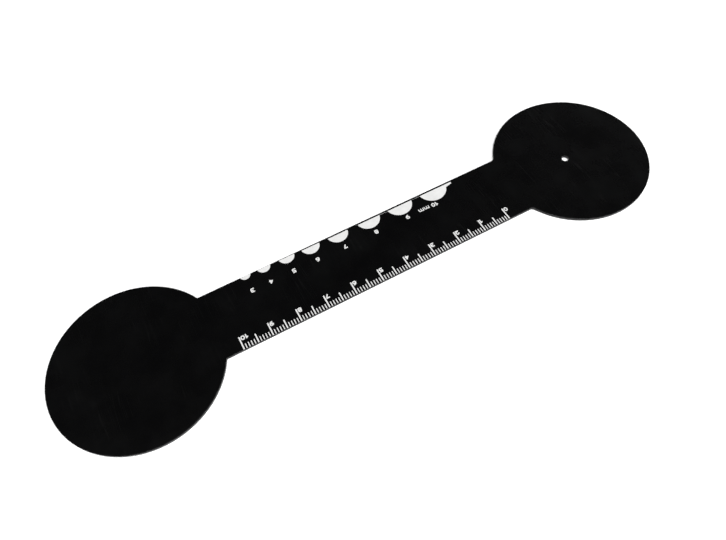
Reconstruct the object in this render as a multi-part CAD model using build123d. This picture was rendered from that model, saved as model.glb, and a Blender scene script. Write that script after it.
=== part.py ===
from build123d import *
import os

# Hand-held eye occluder: one flat dog-bone plate, solid paddle at +X, pinhole paddle at -X,
# printed on its top face with a millimetre ruler along the +Y edge and a gauge of half discs
# along the -Y edge. Millimetres and degrees. The origin is the middle of the bottom face,
# +Z out of the printed face, and +X is the reading direction of the print.

# Plate
PLATE_THICKNESS = 1.0
PADDLE_DIAMETER = 56.2
PADDLE_SPACING = 166.7          # between the two paddle centres
HANDLE_WIDTH = 24.8
HANDLE_OFFSET = -0.55           # of the handle's middle line, towards the gauge edge
PLAIN_NECK_RADIUS = 0.5         # inner corners where the handle meets the plain paddle
PINHOLE_NECK_RADIUS = 1.5       # the same at the pinhole paddle
EDGE_ROUND = 0.1
PINHOLE_DIAMETER = 2.45
PINHOLE_OFFSET = 2.05           # from the paddle centre towards the handle
PINHOLE_SIDE_OFFSET = -0.3      # from the paddle centre, towards the gauge edge

# Printed legend
INK_THICKNESS = 0.05
NUMERAL_HEIGHT = 1.62
NUMERAL_STROKE = 0.4
NUMERAL_BREADTH = 0.8           # a numeral's width over its height, both to the strokes' middles
LETTER_HEIGHT = 1.25
LETTER_STROKE = 0.32
LETTER_BREADTH = 1.8            # the same for the letter m
CHARACTER_GAP = 0.25
WORD_GAP = 0.9

# Ruler
RULER_DIVISIONS = 100
RULER_PITCH = 1.0
RULER_OFFSET = 1.85             # the ruler's middle, towards the plain paddle
RULER_MARGIN = 0.12             # from the handle's edge to the outer ends of the ticks
FINE_TICK = (1.75, 0.3)         # length and line width
HALF_TICK = (3.25, 0.42)
CENTIMETRE_TICK = (4.75, 0.45)
RULER_NUMERAL_GAP = 0.15        # between a numeral and the side of its tick

# Pupil gauge: each disc's size, its place along the handle, the gap from the handle's edge to
# its flat side, and how far its centre stands inside that edge
GAUGE_DISCS = {
    10: (-31.6, 0.75, -0.1),
    9: (-17.95, 0.75, -0.15),
    8: (-5.45, 0.75, -0.1),
    7: (6.7, 0.7, 0.05),
    6: (17.2, 0.55, 0.05),
    5: (26.1, 0.3, -0.2),
    4: (34.5, 0.15, -0.3),
    3: (41.25, 0.12, -0.35),
}
GAUGE_INK_SPREAD = 0.4          # the ink stands this far outside each nominal radius
GAUGE_NUMERAL_HEIGHT = 5.65     # of the numerals' base above the handle's edge
UNIT_LABEL_OFFSET = 1.4         # of the "10 mm" label's left end from its disc's centre
BASE_LINE_WIDTH = 0.04
BASE_LINE_END = 8               # the disc at which the line stops
TAIL_LENGTH = 2.2               # of the tail beside the largest disc
TAIL_END_HEIGHT = 0.65          # at the tail's blunt end
TAIL_DISC_HEIGHT = 1.15         # where the tail meets the disc


# Each glyph below is drawn along the middles of its strokes in a box "wide" by "high" that
# starts at the origin; the bare numbers in it are shares of that box.


def stroke(path, pen):
    """One round-ended pen stroke along a path of lines and arcs."""
    return SlotArc(Wire(path), pen)


def loop(centre, across, tall, pen):
    """A closed loop, "across" by "tall" along its middle line, round at its two far ends."""
    straight = abs(across - tall)
    short = min(across, tall)
    turn = 90 if tall > across else 0
    outer = SlotCenterToCenter(straight, short + pen, rotation=turn)
    inner = SlotCenterToCenter(straight, short - pen, rotation=turn)
    return Pos(*centre) * (outer - inner)


def hooked_end(right, base, radius):
    """A half turn from (right - radius, base + 2 * radius) out to "right" and back to "base"."""
    return CenterArc((right - radius, base + radius), radius, 90, -180)


def zero(wide, high, pen):
    return loop((wide / 2, high / 2), wide, high, pen)


def one(wide, high, pen):
    stem = 0.45 * wide
    return stroke([Line((0, 0.74 * high), (stem, high)), Line((stem, high), (stem, 0))], pen)


def two(wide, high, pen):
    hook = CenterArc((wide / 2, high - wide / 2), wide / 2, 165, -205)
    return stroke([hook, Line(hook @ 1, (0, 0)), Line((0, 0), (wide, 0))], pen)


def three(wide, high, pen):
    waist = 0.54 * high
    middle = (0.35 * wide, waist)
    upper = hooked_end(wide, waist, (high - waist) / 2)
    lower = hooked_end(wide, 0, waist / 2)
    top = stroke([Line((0.05 * wide, high), upper @ 0), upper, Line(upper @ 1, middle)], pen)
    return top + stroke([Line(middle, lower @ 0), lower, Line(lower @ 1, (0, 0))], pen)


def four(wide, high, pen):
    stem = 0.72 * wide
    bar = 0.3 * high
    slope = Line((stem, high), (0, bar))
    upright = stroke([Line((stem, 0), (stem, high))], pen)
    return upright + stroke([slope, Line((0, bar), (wide, bar))], pen)


def five(wide, high, pen):
    left = 0.08 * wide
    waist = 0.56 * high
    belly = hooked_end(wide, 0, waist / 2)
    top = [Line((0.95 * wide, high), (left, high)), Line((left, high), (left, waist))]
    return stroke(top + [Line((left, waist), belly @ 0), belly, Line(belly @ 1, (0, 0))], pen)


def six(wide, high, pen):
    tall = 0.56 * high
    stem = ThreePointArc((0, tall / 2), (0.16 * wide, 0.74 * high), (0.8 * wide, high))
    return loop((wide / 2, tall / 2), wide, tall, pen) + stroke([stem], pen)


def seven(wide, high, pen):
    return stroke([Line((0, high), (wide, high)), Line((wide, high), (0.3 * wide, 0))], pen)


def eight(wide, high, pen):
    waist = 0.54 * high
    upper = loop((wide / 2, (high + waist) / 2), 0.84 * wide, high - waist, pen)
    return upper + loop((wide / 2, waist / 2), wide, waist, pen)


def nine(wide, high, pen):
    return Pos(wide, high) * Rot(0, 0, 180) * six(wide, high, pen)


def letter_m(wide, high, pen):
    arch_radius = wide / 4
    spring = high - arch_radius
    shape = stroke([Line((0, 0), (0, high))], pen)
    for left in (0, wide / 2):
        arch = CenterArc((left + arch_radius, spring), arch_radius, 180, -180)
        shape += stroke([arch, Line(arch @ 1, (left + wide / 2, 0))], pen)
    return shape


DIGITS = (zero, one, two, three, four, five, six, seven, eight, nine)


def write(text):
    """A line of characters whose outline starts at x = 0 and stands on y = 0."""
    line = Sketch()
    pen_x = 0
    for character in text:
        if character == "m":
            high, pen = LETTER_HEIGHT, LETTER_STROKE
            glyph = letter_m(LETTER_BREADTH * (high - pen), high - pen, pen)
        else:
            high, pen = NUMERAL_HEIGHT, NUMERAL_STROKE
            glyph = DIGITS[int(character)](NUMERAL_BREADTH * (high - pen), high - pen, pen)
        box = glyph.bounding_box()
        line += Pos(pen_x - box.min.X, pen / 2) * glyph
        pen_x += box.size.X + CHARACTER_GAP
    return line


def handle_edge(side):
    """The Y of the handle's ruler edge (side 1) or gauge edge (side -1)."""
    return HANDLE_OFFSET + side * HANDLE_WIDTH / 2


def ink(outline):
    """The ink layer that lies on the plate's top face."""
    return Pos(0, 0, PLATE_THICKNESS) * extrude(outline, INK_THICKNESS)


def make_plate():
    paddle_x = PADDLE_SPACING / 2
    outline = Pos(0, HANDLE_OFFSET) * Rectangle(PADDLE_SPACING, HANDLE_WIDTH)
    for side in (-1, 1):
        outline += Pos(side * paddle_x, 0) * Circle(PADDLE_DIAMETER / 2)
    plate = extrude(outline, PLATE_THICKNESS)
    upright = plate.edges().filter_by(Axis.Z)
    plate = fillet([edge for edge in upright if edge.center().X > 0], PLAIN_NECK_RADIUS)
    upright = plate.edges().filter_by(Axis.Z)
    necks = [edge for edge in upright if edge.center().X < 0]
    plate = fillet(necks, PINHOLE_NECK_RADIUS)
    rims = plate.edges().filter_by(lambda edge: edge.bounding_box().size.Z < PLATE_THICKNESS / 10)
    plate = fillet(rims, EDGE_ROUND)
    hole = Pos(PINHOLE_OFFSET - paddle_x, PINHOLE_SIDE_OFFSET) * Circle(PINHOLE_DIAMETER / 2)
    return plate - extrude(hole, PLATE_THICKNESS)


def tick_x(division):
    return RULER_OFFSET + (division - RULER_DIVISIONS / 2) * RULER_PITCH


def make_ticks(divisions, tick):
    """Ruler lines of one kind, with their outer ends at the ruler's margin."""
    length, width = tick
    middle_y = handle_edge(1) - RULER_MARGIN - length / 2
    ticks = Sketch()
    for division in divisions:
        ticks += Pos(tick_x(division), middle_y) * Rectangle(width, length)
    return ink(ticks)


def make_ruler_numerals():
    """Centimetre numerals to the left of their ticks, level with the ticks' inner ends."""
    length, width = CENTIMETRE_TICK
    base_y = handle_edge(1) - RULER_MARGIN - length
    numerals = Sketch()
    for division in range(0, RULER_DIVISIONS + 1, 10):
        number = write(str(division // 10))
        right = tick_x(division) - width / 2 - RULER_NUMERAL_GAP
        numerals += Pos(right - number.bounding_box().max.X, base_y) * number
    return ink(numerals)


def on_gauge(outline):
    """The ink of an outline whose y is measured inwards from the gauge edge."""
    return ink(Pos(0, handle_edge(-1)) * outline)


def disc_radius(size):
    return size / 2 + GAUGE_INK_SPREAD


def half_discs():
    """The discs, each cut off flat at its gap."""
    discs = Sketch()
    for size, (x, gap, centre_y) in GAUGE_DISCS.items():
        radius = disc_radius(size)
        keep = Pos(x, gap + radius) * Rectangle(2 * radius, 2 * radius)
        discs += Pos(x, centre_y) * Circle(radius) & keep
    return discs


def gauge_numerals():
    """Numerals centred over their discs; the largest disc's stands to the right."""
    numerals = Sketch()
    for size, (x, _, _) in GAUGE_DISCS.items():
        number = write(str(size))
        if size == max(GAUGE_DISCS):
            left = x + UNIT_LABEL_OFFSET
        else:
            left = x - number.bounding_box().max.X / 2
        numerals += Pos(left, GAUGE_NUMERAL_HEIGHT) * number
    return numerals


def unit_mark():
    """The "mm" after the largest disc's numeral."""
    size = max(GAUGE_DISCS)
    number_end = GAUGE_DISCS[size][0] + UNIT_LABEL_OFFSET + write(str(size)).bounding_box().max.X
    return Pos(number_end + WORD_GAP, GAUGE_NUMERAL_HEIGHT) * write("mm")


def base_line():
    """The hairline along the larger discs' flat sides, and the tail at the largest."""
    size = max(GAUGE_DISCS)
    x, gap, _ = GAUGE_DISCS[size]
    disc_side = x - disc_radius(size)
    start = disc_side - TAIL_LENGTH
    end = GAUGE_DISCS[BASE_LINE_END][0]
    middle = ((start + end) / 2, gap + BASE_LINE_WIDTH / 2)
    line = Pos(*middle) * Rectangle(end - start, BASE_LINE_WIDTH)
    high = gap + TAIL_DISC_HEIGHT
    corners = [(start, gap), (x, gap), (x, high), (disc_side, high), (start, gap + TAIL_END_HEIGHT)]
    return line + Polygon(*corners, align=None) - half_discs()


def save(name, shape):
    shape.label = name
    export_step(shape, os.path.join("parts", name + ".step"))


os.makedirs("parts", exist_ok=True)
divisions = range(RULER_DIVISIONS + 1)
save("occluder_plate", make_plate())
save("ruler_millimetre_ticks", make_ticks([n for n in divisions if n % 5], FINE_TICK))
save("ruler_half_centimetre_ticks", make_ticks([n for n in divisions if n % 10 == 5], HALF_TICK))
save("ruler_centimetre_ticks", make_ticks([n for n in divisions if n % 10 == 0], CENTIMETRE_TICK))
save("ruler_numerals", make_ruler_numerals())
save("gauge_half_discs", on_gauge(half_discs()))
save("gauge_numerals", on_gauge(gauge_numerals()))
save("gauge_unit_mark", on_gauge(unit_mark()))
save("gauge_base_line", on_gauge(base_line()))
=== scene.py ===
"""Looks for a flat black eye occluder with a printed ruler and pupil gauge.

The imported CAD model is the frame: its ink nodes stay and get an ink material, and its plate is
replaced by a finer mesh with the same outline. Metres, in the CAD frame: +X along the print,
+Y towards the ruler edge, +Z out of the printed face.
"""

import math

import bmesh
import bpy
from mathutils import Euler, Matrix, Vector


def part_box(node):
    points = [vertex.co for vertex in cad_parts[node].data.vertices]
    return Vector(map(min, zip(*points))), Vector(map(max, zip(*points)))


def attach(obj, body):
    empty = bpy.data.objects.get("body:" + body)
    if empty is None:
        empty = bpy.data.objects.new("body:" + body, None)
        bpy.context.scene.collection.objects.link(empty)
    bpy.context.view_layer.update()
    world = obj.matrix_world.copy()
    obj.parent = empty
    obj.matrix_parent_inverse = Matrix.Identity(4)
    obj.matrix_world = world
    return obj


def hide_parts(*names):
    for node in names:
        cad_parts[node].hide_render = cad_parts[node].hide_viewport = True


MM = 0.001

# The plate's outline, which the frame's box completes
HANDLE_WIDTH = 24.8 * MM
HANDLE_OFFSET = -0.55 * MM                      # of the handle's middle line
PLAIN_NECK_RADIUS = 0.5 * MM
PINHOLE_NECK_RADIUS = 1.5 * MM
EDGE_ROUND = 0.1 * MM
PINHOLE_RADIUS = 1.225 * MM
PINHOLE_OFFSET = 2.05 * MM                      # from the paddle's centre towards the handle
PINHOLE_SIDE_OFFSET = -0.3 * MM                 # from the paddle's centre towards the gauge edge

# How finely the plate is cut
PADDLE_STEPS = 220
NECK_STEPS = 10
HANDLE_STEPS = 60
PINHOLE_STEPS = 72
RIM_STEPS = 5
WEAR_WIDTH = 0.35 * MM                          # of the worn band beside each rounded rim

# Camera
CAMERA_PLACE = (50.28 * MM, 102.3 * MM, 178.03 * MM)
CAMERA_TURN = (31.098, 2.403, 151.577)          # degrees about X, Y and Z
LENS = 30.78                                    # on a 36 mm wide sensor

# The sky seen in the plastic: bright at the horizon, dark overhead
HORIZON_LIGHT = 1.0
OVERHEAD_LIGHT = 0.02
HORIZON_TOP = 0.30                              # heights on a unit sphere
OVERHEAD_START = 0.55

FLOOR_SIZE = 1.5                                # metres; it ends while the lights still whiten it
FLOOR_GAP = 0.02 * MM                           # under the plate

# Each light's place and size in metres, and its power in watts
KEY_LIGHT = ((0.35, 0.75, 1.5), 1.3, 34)
FILL_LIGHT = ((-0.7, 0.6, 1.2), 1.1, 14)

# Colours, linear
PLASTIC_DARK = (0.0007, 0.0007, 0.0008)
PLASTIC_PALE = (0.0013, 0.0013, 0.0014)
PLASTIC_WORN = (0.014, 0.014, 0.0145)
INK_THIN = (0.53, 0.53, 0.525)
INK_FULL = (0.6, 0.6, 0.595)
INK_GAP = (0.25, 0.25, 0.25)
FLOOR_DARK = (0.93, 0.93, 0.93)
FLOOR_PALE = (0.95, 0.95, 0.95)

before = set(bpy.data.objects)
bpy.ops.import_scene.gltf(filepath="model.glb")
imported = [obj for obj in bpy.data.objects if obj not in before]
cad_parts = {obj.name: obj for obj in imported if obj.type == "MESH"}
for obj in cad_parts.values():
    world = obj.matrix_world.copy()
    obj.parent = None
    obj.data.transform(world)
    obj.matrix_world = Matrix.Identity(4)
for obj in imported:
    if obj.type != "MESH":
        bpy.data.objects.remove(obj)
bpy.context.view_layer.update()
PLATE_LOW, PLATE_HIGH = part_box("occluder_plate")
THICKNESS = PLATE_HIGH.z - PLATE_LOW.z
PADDLE_RADIUS = (PLATE_HIGH.y - PLATE_LOW.y) / 2
PADDLE_X = (PLATE_HIGH.x - PLATE_LOW.x) / 2 - PADDLE_RADIUS


# ---------------------------------------------------------------- node helpers


def new_material(name):
    material = bpy.data.materials.new(name)
    material.use_nodes = True
    return material, material.node_tree, material.node_tree.nodes["Principled BSDF"]


def node(tree, kind, **values):
    """A node with its input sockets set by name (spaces written as underscores)."""
    made = tree.nodes.new(kind)
    for key, value in values.items():
        made.inputs[key.replace("_", " ")].default_value = value
    return made


def place(tree):
    """Object-space position, in metres."""
    return tree.nodes.new("ShaderNodeTexCoord").outputs["Object"]


def noise(tree, where, size, detail=4.0, roughness=0.55):
    """Noise from 0 to 1 whose blobs are about size metres across."""
    texture = node(tree, "ShaderNodeTexNoise", Scale=1 / size, Detail=detail, Roughness=roughness)
    tree.links.new(where, texture.inputs["Vector"])
    return texture.outputs["Fac"]


def remap(tree, value, low, high, to_low=0.0, to_high=1.0):
    made = node(tree, "ShaderNodeMapRange", From_Min=low, From_Max=high, To_Min=to_low, To_Max=to_high)
    tree.links.new(value, made.inputs["Value"])
    return made.outputs["Result"]


def math_node(tree, operation, first, second):
    made = tree.nodes.new("ShaderNodeMath")
    made.operation = operation
    for socket, value in zip(made.inputs, (first, second)):
        if isinstance(value, (int, float)):
            socket.default_value = value
        else:
            tree.links.new(value, socket)
    return made.outputs["Value"]


def mix_colour(tree, factor, first, second):
    made = tree.nodes.new("ShaderNodeMix")
    made.data_type = "RGBA"
    tree.links.new(factor, made.inputs["Factor"])
    for socket, value in ((made.inputs["A"], first), (made.inputs["B"], second)):
        if isinstance(value, tuple):
            socket.default_value = (*value, 1.0)
        else:
            tree.links.new(value, socket)
    return made.outputs["Result"]


def bump(tree, shader, height, distance, under=None):
    made = node(tree, "ShaderNodeBump", Strength=1.0, Distance=distance)
    tree.links.new(height, made.inputs["Height"])
    if under:
        tree.links.new(under, made.inputs["Normal"])
    tree.links.new(made.outputs["Normal"], shader.inputs["Normal"])
    return made.outputs["Normal"]


def hairlines(tree, where, angle, spacing, rarity):
    """Thin straight scratches at one angle: 1 on a scratch and 0 off it."""
    turn = node(tree, "ShaderNodeMapping", Rotation=(0, 0, math.radians(angle)))
    turn.inputs["Scale"].default_value = (1 / spacing, 0.02 / spacing, 1)
    tree.links.new(where, turn.inputs["Vector"])
    texture = node(tree, "ShaderNodeTexNoise", Scale=1.0, Detail=1.0, Roughness=0.3, Distortion=0.15)
    tree.links.new(turn.outputs["Vector"], texture.inputs["Vector"])
    ridge = math_node(tree, "ABSOLUTE", math_node(tree, "SUBTRACT", texture.outputs["Fac"], 0.5), 0)
    line = remap(tree, ridge, 0.0, 0.012, 1.0, 0.0)
    patches = remap(tree, noise(tree, where, 18 * MM, 2.0), rarity, rarity + 0.08)
    return math_node(tree, "MULTIPLY", line, patches)


# ---------------------------------------------------------------- materials


def black_plastic():
    """Satin black sheet: fine grain, faint handling marks, hairlines and paler worn edges."""
    material, tree, shader = new_material("black_plastic")
    where = place(tree)
    tint = remap(tree, noise(tree, where, 30 * MM, 3.0), 0.3, 0.7)
    colour = mix_colour(tree, tint, PLASTIC_DARK, PLASTIC_PALE)
    edge = tree.nodes.new("ShaderNodeAttribute")
    edge.attribute_name = "edge"
    rubbed = remap(tree, noise(tree, where, 1.5 * MM, 5.0, 0.65), 0.42, 0.66)
    wear = math_node(tree, "MULTIPLY", edge.outputs["Fac"], rubbed)
    colour = mix_colour(tree, wear, colour, PLASTIC_WORN)
    tree.links.new(colour, shader.inputs["Base Color"])

    long_lines = hairlines(tree, where, 24, 1.6 * MM, 0.50)
    cross_lines = hairlines(tree, where, -58, 2.1 * MM, 0.54)
    lines = math_node(tree, "MAXIMUM", long_lines, cross_lines)
    handled = remap(tree, noise(tree, where, 12 * MM, 5.0, 0.6), 0.35, 0.7, 0.24, 0.32)
    roughness = math_node(tree, "ADD", handled, math_node(tree, "MULTIPLY", lines, 0.10))
    tree.links.new(roughness, shader.inputs["Roughness"])
    shader.inputs["Specular IOR Level"].default_value = 0.24

    grain = noise(tree, where, 0.22 * MM, 3.0, 0.6)
    under = bump(tree, shader, grain, 0.0012 * MM)
    bump(tree, shader, math_node(tree, "MULTIPLY", lines, -1.0), 0.002 * MM, under=under)
    return material


def white_ink():
    """Screen-printed ink: slightly uneven cover, a dry surface and a few pin-prick gaps."""
    material, tree, shader = new_material("white_ink")
    where = place(tree)
    cover = remap(tree, noise(tree, where, 2.5 * MM, 5.0, 0.6), 0.3, 0.7)
    colour = mix_colour(tree, cover, INK_THIN, INK_FULL)
    pricks = node(tree, "ShaderNodeTexVoronoi", Scale=1 / (0.9 * MM), Randomness=1.0)
    tree.links.new(where, pricks.inputs["Vector"])
    gaps = remap(tree, pricks.outputs["Distance"], 0.05, 0.09, 1.0, 0.0)
    rare = remap(tree, noise(tree, where, 3.0 * MM, 2.0), 0.56, 0.60)
    colour = mix_colour(tree, math_node(tree, "MULTIPLY", gaps, rare), colour, INK_GAP)
    tree.links.new(colour, shader.inputs["Base Color"])
    tree.links.new(remap(tree, cover, 0, 1, 0.62, 0.5), shader.inputs["Roughness"])
    bump(tree, shader, noise(tree, where, 0.12 * MM, 3.0), 0.004 * MM)
    return material


def floor_material():
    material, tree, shader = new_material("studio_floor")
    tint = remap(tree, noise(tree, place(tree), 0.4, 2.0), 0, 1)
    tree.links.new(mix_colour(tree, tint, FLOOR_DARK, FLOOR_PALE), shader.inputs["Base Color"])
    shader.inputs["Roughness"].default_value = 0.9
    return material


# ---------------------------------------------------------------- plate mesh


def arc_points(centre, radius, start, end, steps):
    """Points from start to end, both included, in the XY plane; angles in radians."""
    points = []
    for step in range(steps + 1):
        angle = start + (end - start) * step / steps
        offset = Vector((math.cos(angle), math.sin(angle))) * radius
        points.append(Vector(centre) + offset)
    return points


def neck_arc(edge, radius, inset):
    """The inner corner from a handle edge round to the +X paddle, and the paddle angle there.

    The edge is given by its distance from the paddles' centre line, and the corner is drawn
    for the +Y side.
    """
    rise = edge + radius
    reach = math.sqrt((PADDLE_RADIUS + radius) ** 2 - rise**2)
    meeting = math.atan2(rise, -reach)
    centre = (PADDLE_X - reach, rise)
    return arc_points(centre, radius + inset, -math.pi / 2, meeting - math.pi, NECK_STEPS), meeting


def paddle_outline(neck_radius, inset):
    """The +X paddle with both its necks, from the handle's -Y edge round to its +Y edge."""
    ruler_edge = HANDLE_WIDTH / 2 + HANDLE_OFFSET
    gauge_edge = HANDLE_WIDTH / 2 - HANDLE_OFFSET
    upper, upper_meeting = neck_arc(ruler_edge, neck_radius, inset)
    lower, lower_meeting = neck_arc(gauge_edge, neck_radius, inset)
    rim = arc_points((PADDLE_X, 0), PADDLE_RADIUS - inset, -lower_meeting, upper_meeting, PADDLE_STEPS)
    return [Vector((p.x, -p.y)) for p in lower] + rim[1:-1] + upper[::-1]


def between(first, last):
    """Points along a straight handle edge, with neither end."""
    return [first.lerp(last, step / HANDLE_STEPS) for step in range(1, HANDLE_STEPS)]


def plate_outline(inset):
    """The whole closed outline, drawn inset from the true edge."""
    plain = paddle_outline(PLAIN_NECK_RADIUS, inset)
    pinhole = [Vector((-p.x, p.y)) for p in reversed(paddle_outline(PINHOLE_NECK_RADIUS, inset))]
    return plain + between(plain[-1], pinhole[0]) + pinhole + between(pinhole[-1], plain[0])


def hole_outline(inset):
    centre = (PINHOLE_OFFSET - PADDLE_X, PINHOLE_SIDE_OFFSET)
    return arc_points(centre, PINHOLE_RADIUS + inset, 0, 2 * math.pi, PINHOLE_STEPS)[:-1]


def rim_profile(rounding):
    """(inset, height) across the worn band, down the rounded wall and back under the plate."""
    top = [(rounding + WEAR_WIDTH, THICKNESS)]
    for step in range(RIM_STEPS + 1):
        angle = math.pi / 2 * step / RIM_STEPS
        top.append((rounding * (1 - math.sin(angle)), THICKNESS - rounding * (1 - math.cos(angle))))
    return top + [(inset, THICKNESS - height) for inset, height in reversed(top)]


def add_wall(mesh, outline, profile):
    """Rings of vertices down a wall, joined by smooth quads. Returns the rings."""
    rings = []
    for inset, height in profile:
        rings.append([mesh.verts.new((p.x, p.y, PLATE_LOW.z + height)) for p in outline(inset)])
    count = len(rings[0])
    for upper, lower in zip(rings, rings[1:]):
        for here in range(count):
            after = (here + 1) % count
            face = mesh.faces.new((upper[here], lower[here], lower[after], upper[after]))
            face.smooth = True
    return rings


def closed_edges(mesh, ring):
    pairs = zip(ring, ring[1:] + ring[:1])
    return [mesh.edges.get(pair) for pair in pairs]


def mark_edges(data, flat_rings):
    """Writes the attribute that edge wear reads: 1 on walls and rims, 0 on the flat faces."""
    marks = data.attributes.new("edge", "FLOAT", "POINT")
    for mark in marks.data:
        mark.value = 1.0
    for index in flat_rings:
        marks.data[index].value = 0.0


def add_plate(material):
    mesh = bmesh.new()
    outer = add_wall(mesh, plate_outline, rim_profile(EDGE_ROUND))
    inner = add_wall(mesh, hole_outline, rim_profile(EDGE_ROUND / 2))
    flat_rings = outer[0] + outer[-1] + inner[0] + inner[-1]
    for level in (0, -1):
        loops = closed_edges(mesh, outer[level]) + closed_edges(mesh, inner[level])
        bmesh.ops.triangle_fill(mesh, use_beauty=True, edges=loops)
    bmesh.ops.recalc_face_normals(mesh, faces=mesh.faces)
    mesh.verts.index_update()
    flat_indices = [vertex.index for vertex in flat_rings]
    data = bpy.data.meshes.new("occluder_plate_fine")
    mesh.to_mesh(data)
    mesh.free()
    mark_edges(data, flat_indices)
    data.materials.append(material)
    plate = bpy.data.objects.new("occluder_plate_fine", data)
    bpy.context.scene.collection.objects.link(plate)
    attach(plate, "root")
    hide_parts("occluder_plate")


# ---------------------------------------------------------------- studio


def add_floor():
    bpy.ops.mesh.primitive_plane_add(size=FLOOR_SIZE, location=(0, 0, PLATE_LOW.z - FLOOR_GAP))
    floor = bpy.context.object
    floor.name = "studio_floor"
    floor.data.materials.append(floor_material())


def add_area_light(name, place_m, size, power):
    light = bpy.data.lights.new(name, "AREA")
    light.shape = "DISK"
    light.size = size
    light.energy = power
    lamp = bpy.data.objects.new(name, light)
    bpy.context.scene.collection.objects.link(lamp)
    lamp.location = place_m
    lamp.rotation_euler = (-Vector(place_m)).to_track_quat("-Z", "Y").to_euler()


def add_world():
    """A white horizon that fades to a dark ceiling."""
    world = bpy.data.worlds.new("studio")
    bpy.context.scene.world = world
    world.use_nodes = True
    tree = world.node_tree
    split = tree.nodes.new("ShaderNodeSeparateXYZ")
    tree.links.new(tree.nodes.new("ShaderNodeTexCoord").outputs["Generated"], split.inputs["Vector"])
    light = remap(tree, split.outputs["Z"], HORIZON_TOP, OVERHEAD_START, HORIZON_LIGHT, OVERHEAD_LIGHT)
    background = tree.nodes["Background"]
    background.inputs["Color"].default_value = (1, 1, 1, 1)
    tree.links.new(light, background.inputs["Strength"])


def add_camera():
    camera_data = bpy.data.cameras.new("camera")
    camera_data.lens = LENS
    camera_data.sensor_width = 36
    camera_data.clip_start = 5 * MM
    camera = bpy.data.objects.new("camera", camera_data)
    camera.location = CAMERA_PLACE
    camera.rotation_euler = Euler([math.radians(a) for a in CAMERA_TURN])
    bpy.context.scene.collection.objects.link(camera)
    bpy.context.scene.camera = camera


ink = white_ink()
for name, cad_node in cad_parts.items():
    if name != "occluder_plate":
        cad_node.data.materials.clear()
        cad_node.data.materials.append(ink)
add_plate(black_plastic())

add_floor()
add_world()
add_area_light("key_light", *KEY_LIGHT)
add_area_light("fill_light", *FILL_LIGHT)
add_camera()
bpy.context.scene.view_settings.view_transform = "Standard"
